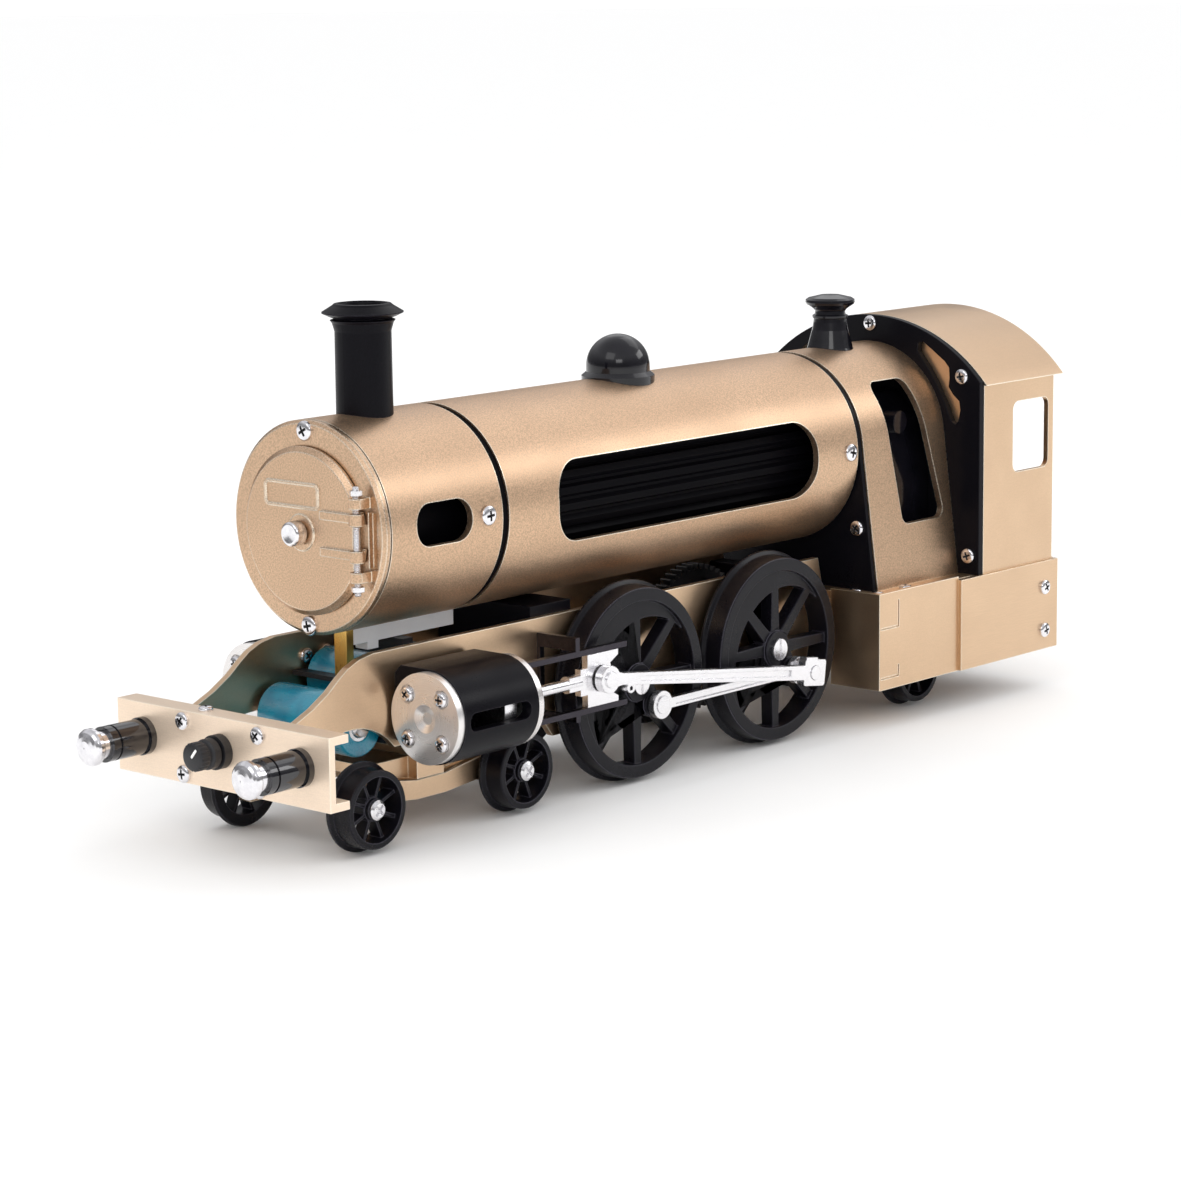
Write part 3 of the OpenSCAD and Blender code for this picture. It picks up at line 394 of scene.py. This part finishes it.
def islands(name):
    """The separate solids of a CAD node, each as a list of its corners."""
    mesh = bmesh.new()
    mesh.from_mesh(nodes[name].data)
    bmesh.ops.remove_doubles(mesh, verts=mesh.verts, dist=0.001 * MM)
    found = []
    seen = set()
    for start in mesh.verts:
        if start in seen:
            continue
        seen.add(start)
        group = [start]
        for vertex in group:
            for edge in vertex.link_edges:
                other = edge.other_vert(vertex)
                if other not in seen:
                    seen.add(other)
                    group.append(other)
        found.append([vertex.co.copy() for vertex in group])
    mesh.free()
    return found


def corners(points):
    """Lowest and highest corner of a list of points."""
    low = Vector(min(p[i] for p in points) for i in range(3))
    high = Vector(max(p[i] for p in points) for i in range(3))
    return low, high


def piece(name, mesh, body, slot, material=None, stands_for=()):
    """Makes an object of a bmesh, lets it ride on a CAD body and gives it a finish."""
    data = bpy.data.meshes.new(name)
    mesh.to_mesh(data)
    mesh.free()
    made = bpy.data.objects.new(name, data)
    bpy.context.scene.collection.objects.link(made)
    data.materials.append(MATERIALS[material or slot])
    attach(made, body)
    if stands_for:
        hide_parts(*stands_for)
    return made


def shade(mesh, angle=35):
    """Smooth faces with sharp edges wherever two faces meet at more than the angle."""
    for face in mesh.faces:
        face.smooth = True
    for edge in mesh.edges:
        edge.smooth = len(edge.link_faces) == 2 and edge.calc_face_angle() < math.radians(angle)


def lathe(mesh, profile, place, axis, steps=48, wave=None):
    """Turns a profile of (distance along, radius), in millimetres, round an axis through place.

    The ends close on the axis where the radius is 0. wave(along, angle) scales a radius.
    """
    turn = Vector((0, 0, 1)).rotation_difference(axis).to_matrix()
    rings = []
    for along, radius in profile:
        ring = []
        for i in range(steps if radius > 0 else 1):
            a = 2 * math.pi * i / steps
            r = radius * (wave(along, a) if wave else 1)
            point = Vector((r * math.cos(a), r * math.sin(a), along))
            ring.append(mesh.verts.new(place + turn @ point * MM))
        rings.append(ring)
    for one, two in zip(rings, rings[1:]):
        for i in range(steps):
            j = (i + 1) % steps
            if len(one) == 1 and len(two) > 1:
                mesh.faces.new((one[0], two[j], two[i]))
            elif len(two) == 1 and len(one) > 1:
                mesh.faces.new((one[i], one[j], two[0]))
            elif len(one) > 1:
                mesh.faces.new((one[i], one[j], two[j], two[i]))


def cut(body, tool):
    """Mesh of one bmesh less another."""
    objects = []
    for mesh in (body, tool):
        data = bpy.data.meshes.new("scrap")
        mesh.to_mesh(data)
        mesh.free()
        objects.append(bpy.data.objects.new("scrap", data))
        bpy.context.scene.collection.objects.link(objects[-1])
    modifier = objects[0].modifiers.new("cut", "BOOLEAN")
    modifier.operation = "DIFFERENCE"
    modifier.solver = "EXACT"
    modifier.object = objects[1]
    finished = objects[0].evaluated_get(bpy.context.evaluated_depsgraph_get())
    result = bpy.data.meshes.new_from_object(finished)
    for made in objects:
        bpy.data.objects.remove(made)
    return result


# Crown of a screw head 1 mm in radius, and how far its recess reaches across and up, in millimetres
HEAD_TOP = 0.485
RECESS_REACH = 0.66
RECESS_TOP = 0.4
# Floor and mouth of the cross recess: height, half length and half width of its arms
RECESS_LEVELS = ((0.12, 0.30, 0.085), (0.6, RECESS_REACH, 0.15))


def screw_head():
    """A pan head 1 mm in radius, seat at the origin, with a tapered cross recess."""
    head = bmesh.new()
    lathe(head, [(0, 0), (0, 1.0), (0.16, 1.0), (0.24, 0.985), (0.32, 0.93), (0.39, 0.8), (0.44, 0.62),
                 (0.47, 0.4), (0.48, 0.2), (HEAD_TOP, 0)], Vector(), Vector((0, 0, 1)), steps=32)
    recess = bmesh.new()
    rings = []
    for z, long, wide in RECESS_LEVELS:
        outline = [(wide, long), (-wide, long), (-wide, wide), (-long, wide), (-long, -wide),
                   (-wide, -wide), (-wide, -long), (wide, -long), (wide, -wide), (long, -wide),
                   (long, wide), (wide, wide)]
        rings.append([recess.verts.new(Vector((x, y, z)) * MM) for x, y in outline])
    for i in range(len(outline)):
        j = (i + 1) % len(outline)
        recess.faces.new((rings[0][i], rings[0][j], rings[1][j], rings[1][i]))
    recess.faces.new(list(reversed(rings[0])))
    recess.faces.new(rings[1])
    bmesh.ops.recalc_face_normals(recess, faces=recess.faces)
    bmesh.ops.recalc_face_normals(head, faces=head.faces)
    made = cut(head, recess)
    # Faces inside the cross recess take the second finish, near-black: painted shade
    for face in made.polygons:
        across = math.hypot(face.center.x, face.center.y) / MM
        in_painted_shade = across < RECESS_REACH and 0.01 < face.center.z / MM < RECESS_TOP
        face.material_index = 1 if in_painted_shade else 0
    return made


def screws():
    """A cross-recessed screw on every screw seat of the CAD, each turned its own way."""
    pattern = screw_head()
    mesh = bmesh.new()
    for points in islands("panel_screws"):
        low, high = corners(points)
        size = high - low
        axis = min(range(3), key=lambda i: size[i])
        centre = (low + high) / 2
        reach = {}
        for end in (low[axis], high[axis]):
            level = [p for p in points if abs(p[axis] - end) < 0.01 * MM]
            reach[end] = max((p - centre).length for p in level)
        tip = min(reach, key=reach.get)
        seat = max(reach, key=reach.get)
        out = Vector((0, 0, 0))
        out[axis] = 1.0 if tip > seat else -1.0
        centre[axis] = seat
        radius = (sum(size) - size[axis]) / 4 / MM
        height = size[axis] / MM / HEAD_TOP
        upright = Vector((0, 0, 1)).rotation_difference(out).to_matrix().to_4x4()
        place = (Matrix.Translation(centre) @ upright
                 @ Matrix.Rotation(random.uniform(0, math.pi / 2), 4, "Z")
                 @ Matrix.Diagonal((radius, radius, height, 1)))
        part = pattern.copy()
        part.transform(place)
        mesh.from_mesh(part)
        bpy.data.meshes.remove(part)
    shade(mesh)
    made = piece("screws", mesh, "chassis", "chromed", stands_for=["panel_screws"])
    # The second finish paints shade into the cross recesses
    made.data.materials.append(MATERIALS["recess"])


# Height of a cell's terminal over its end, and the radius round the film's rim, in millimetres
TERMINAL = 1.1
FILM_LIP = 0.7
# The terminals are islands of the same CAD node, smaller than this
SMALLEST_CELL = 5


def cells():
    """Three cells: a glossy film drawn over the rim of a steel can, and the raised terminal."""
    wraps = bmesh.new()
    cans = bmesh.new()
    for points in islands("battery_cells"):
        low, high = corners(points)
        radius = (high.x - low.x) / 2 / MM
        if radius < SMALLEST_CELL:
            continue
        centre = Vector(((low.x + high.x) / 2, low.y, (low.z + high.z) / 2))
        length = (high.y - low.y) / MM - TERMINAL
        lip = FILM_LIP
        side = Vector((0, 1, 0))
        turns = (0.4, 0.8, 1.2)
        lathe(wraps, [(0.35, radius - 1.9), (0.02, radius - 1.7), (0.02, radius - lip)]
              + [(lip - lip * math.cos(a), radius - lip + lip * math.sin(a)) for a in turns]
              + [(lip, radius), (length - lip, radius)]
              + [(length - lip + lip * math.sin(a), radius - lip + lip * math.cos(a)) for a in turns]
              + [(length, radius - lip), (length, 3.9), (length - 0.3, 3.7)],
              centre, side, steps=64)
        tip = length + TERMINAL
        lathe(cans, [(0.25, 0), (0.25, radius - 1.75), (length - 0.3, radius - 1.75),
                     (length - 0.25, 3.6), (length - 0.15, 2.9), (tip - 0.2, 2.5), (tip, 2.3), (tip, 0)],
              centre, side, steps=48)
    for mesh in (wraps, cans):
        bmesh.ops.recalc_face_normals(mesh, faces=mesh.faces)
        shade(mesh)
    piece("cell_film", wraps, "chassis", "cell_wrap", stands_for=["battery_cells"])
    piece("cell_cans", cans, "chassis", "cell_wrap", material="cell_steel")


# Where the knob's grip starts and how far its face is set back, in millimetres, and its number of ribs
KNOB_GRIP = 3.9
KNOB_FACE = 0.15
KNOB_RIBS = 20
# Bearing of the pointer from the left towards the top, in degrees
POINTER_TURN = 50


def knob():
    """A turned black knob with fine ribs round its grip and a white pointer line."""
    low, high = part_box("control_knob")
    centre = Vector((low.x, (low.y + high.y) / 2, (low.z + high.z) / 2))
    radius = (high.z - low.z) / 2 / MM
    grip = radius - 0.2
    length = (high.x - low.x) / MM
    ahead = Vector((1, 0, 0))

    def ribbed(along, angle):
        """Shallow ribs on the grip only."""
        on_grip = KNOB_GRIP < along < length - 0.6
        return 1 - (0.05 * (0.5 + 0.5 * math.cos(KNOB_RIBS * angle)) if on_grip else 0)

    mesh = bmesh.new()
    lathe(mesh, [(0, 0), (0, radius - 0.5), (0.3, radius), (2.3, radius), (2.7, radius - 0.3),
                 (2.9, radius - 0.7), (3.5, radius - 0.7), (3.7, radius - 0.4), (KNOB_GRIP + 0.01, grip),
                 (4.8, grip), (length - 0.75, grip), (length - 0.45, radius - 0.45),
                 (length - KNOB_FACE, radius - 1.1), (length - KNOB_FACE, 0)],
          centre, ahead, steps=160, wave=ribbed)
    bmesh.ops.recalc_face_normals(mesh, faces=mesh.faces)
    shade(mesh)
    piece("knob_turned", mesh, "knob", "black_plastic", stands_for=["control_knob"])
    line = bmesh.new()
    bmesh.ops.create_cube(line, size=1)
    bmesh.ops.bevel(line, geom=line.edges, offset=0.1, segments=2, affect="EDGES")
    place = (Matrix.Translation(Vector((high.x - 0.12 * MM, centre.y, centre.z)))
             @ Matrix.Rotation(math.radians(POINTER_TURN), 4, "X")
             @ Matrix.Translation(Vector((0, 0.36 * radius * MM, 0)))
             @ Matrix.Diagonal((0.24 * MM, 0.72 * radius * MM, 0.7 * MM, 1)))
    line.transform(place)
    shade(line)
    piece("knob_pointer", line, "knob", "black_plastic", material="pointer_white")


# Pitch of the hinge stud's thread, its crest and root radii, and the thickness of its nuts, in millimetres
THREAD_PITCH = 0.45
THREAD_CREST = 0.98
THREAD_ROOT = 0.78
NUT_THICK = 1.5


def door_fittings():
    """The turned door knob, and the hinge pin with its thread and its two nuts."""
    low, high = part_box("door_knob")
    centre = Vector((low.x, (low.y + high.y) / 2, (low.z + high.z) / 2))
    radius = (high.z - low.z) / 2 / MM
    length = (high.x - low.x) / MM
    mesh = bmesh.new()
    lathe(mesh, [(0, 0), (0, 1.45), (1.0, 1.45), (1.1, radius - 0.9), (1.3, radius - 0.35), (1.7, radius),
                 (length - 0.7, radius), (length - 0.35, radius - 0.12), (length - 0.1, radius - 0.45),
                 (length, radius - 0.8), (length - 0.08, radius - 1.0), (length - 0.08, 0.5),
                 (length - 0.2, 0)],
          centre, Vector((1, 0, 0)), steps=56)
    bmesh.ops.recalc_face_normals(mesh, faces=mesh.faces)
    shade(mesh, 50)
    piece("door_knob_turned", mesh, "door_handle", "chromed", stands_for=["door_knob"])
    low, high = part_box("hinge_pin")
    centre = Vector(((low.x + high.x) / 2, (low.y + high.y) / 2, low.z))
    nut = (high.x - low.x) / 2 / MM
    length = (high.z - low.z) / MM
    thread = [(i * THREAD_PITCH / 2, THREAD_CREST if i % 2 else THREAD_ROOT)
              for i in range(int(2 * length / THREAD_PITCH))]
    mesh = bmesh.new()
    up = Vector((0, 0, 1))
    lathe(mesh, [(0, 0)] + thread + [(length - 0.05, 0.6), (length, 0)], centre, up, steps=20)
    for z in (0.95, length - 2.5):
        top = z + NUT_THICK
        lathe(mesh, [(z, 1.0), (z, 0.86 * nut), (z + 0.15, nut), (top - 0.15, nut), (top, 0.86 * nut),
                     (top, 1.0)], centre, up, steps=6)
    bmesh.ops.recalc_face_normals(mesh, faces=mesh.faces)
    shade(mesh)
    piece("hinge_stud", mesh, "chassis", "bright_steel", stands_for=["hinge_pin"])


screws()
cells()
knob()
door_fittings()


# ---------------------------------------------------------------- studio


# What the lights point at
MIDDLE = Vector((0, 0, 0.06))


def aim(location, target):
    """Rotation that points an object's -Z from location to target."""
    return (target - location).to_track_quat("-Z", "Y").to_euler()


def around(target, azimuth, elevation, distance):
    """A point at that bearing from target; azimuth 0 is ahead of the locomotive and 90 is on its left."""
    a, e = math.radians(azimuth), math.radians(elevation)
    return target + distance * Vector((math.cos(a) * math.cos(e), math.sin(a) * math.cos(e), math.sin(e)))


def softbox(name, azimuth, elevation, distance, size, radiance):
    """A square area light of a given brightness."""
    light = bpy.data.lights.new(name, "AREA")
    light.shape = "RECTANGLE"
    light.size, light.size_y = size
    light.energy = radiance * math.pi * size[0] * size[1]
    box = bpy.data.objects.new(name, light)
    box.location = around(MIDDLE, azimuth, elevation, distance)
    box.rotation_euler = aim(box.location, MIDDLE)
    bpy.context.scene.collection.objects.link(box)


def surroundings():
    """White for the floor and the lens; dimmer, and darkest at the horizon, for reflections."""
    world = bpy.data.worlds.new("studio")
    world.use_nodes = True
    tree = world.node_tree
    place = tree.nodes.new("ShaderNodeTexCoord")
    axes = tree.nodes.new("ShaderNodeSeparateXYZ")
    ramp = tree.nodes.new("ShaderNodeValToRGB")
    ray = tree.nodes.new("ShaderNodeLightPath")
    mix = tree.nodes.new("ShaderNodeMix")
    mix.data_type = "RGBA"
    tree.links.new(place.outputs["Generated"], axes.inputs[0])
    tree.links.new(axes.outputs[2], ramp.inputs[0])
    for position, grey in ((0.0, 0.30), (0.06, 0.16), (0.25, 0.30), (0.55, 0.75), (1.0, 0.62)):
        stop = ramp.color_ramp.elements.new(position) if position not in (0.0, 1.0) else (
            ramp.color_ramp.elements[0 if position == 0 else -1])
        stop.color = (grey, grey, 1.03 * grey, 1)
    tree.links.new(ray.outputs["Is Glossy Ray"], mix.inputs[0])
    mix.inputs[6].default_value = (1.1, 1.1, 1.1, 1)
    tree.links.new(ramp.outputs[0], mix.inputs[7])
    tree.links.new(mix.outputs[2], tree.nodes["Background"].inputs["Color"])
    bpy.context.scene.world = world


def studio():
    """Pale floor, white surroundings and the softboxes."""
    bpy.ops.mesh.primitive_circle_add(vertices=96, radius=30, fill_type="NGON")
    floor = bpy.context.active_object
    floor.name = "floor"
    f = Finish("floor", 0.0)
    cloud = f.noise(40, detail=2)
    f.colour(f.blend(f.spread(cloud, 0.0, 1.0), (0.94, 0.94, 0.94), (0.95, 0.95, 0.95)))
    f.roughness(f.spread(cloud, 0.75, 0.85))
    floor.data.materials.append(f.material)
    surroundings()
    softbox("key", 143, 27, 1.6, (0.85, 0.42), 3.1)
    softbox("top", 178, 50, 1.6, (1.1, 0.8), 0.7)
    softbox("back", 218, 34, 1.7, (0.9, 0.7), 0.35)
    softbox("front", 8, 40, 1.7, (0.9, 0.7), 1.3)
    softbox("rims", 46, 24, 1.6, (0.6, 0.3), 3.4)
    bpy.context.scene.view_settings.view_transform = "Standard"


# Where the camera stands, in metres, and its azimuth, elevation and roll in degrees
CAMERA_PLACE = (0.70593, 0.61769, 0.21422)
CAMERA_TURN = (41.68, 10.07, -0.683)


def camera():
    """The camera, at the photograph's viewpoint."""
    lens = bpy.data.cameras.new("camera")
    lens.lens = 103.64
    lens.shift_x = 0.0009
    lens.shift_y = -0.0017
    lens.clip_start = 0.05
    lens.clip_end = 60
    cam = bpy.data.objects.new("camera", lens)
    azimuth, elevation, roll = (math.radians(d) for d in CAMERA_TURN)
    back = Vector((math.cos(azimuth) * math.cos(elevation), math.sin(azimuth) * math.cos(elevation),
                   math.sin(elevation)))
    right = Vector((-math.sin(azimuth), math.cos(azimuth), 0))
    up = back.cross(right)
    x = right * math.cos(roll) + up * math.sin(roll)
    y = up * math.cos(roll) - right * math.sin(roll)
    cam.matrix_world = Matrix.Translation(CAMERA_PLACE) @ Matrix((x, y, back)).transposed().to_4x4()
    bpy.context.scene.collection.objects.link(cam)
    bpy.context.scene.camera = cam


studio()
camera()
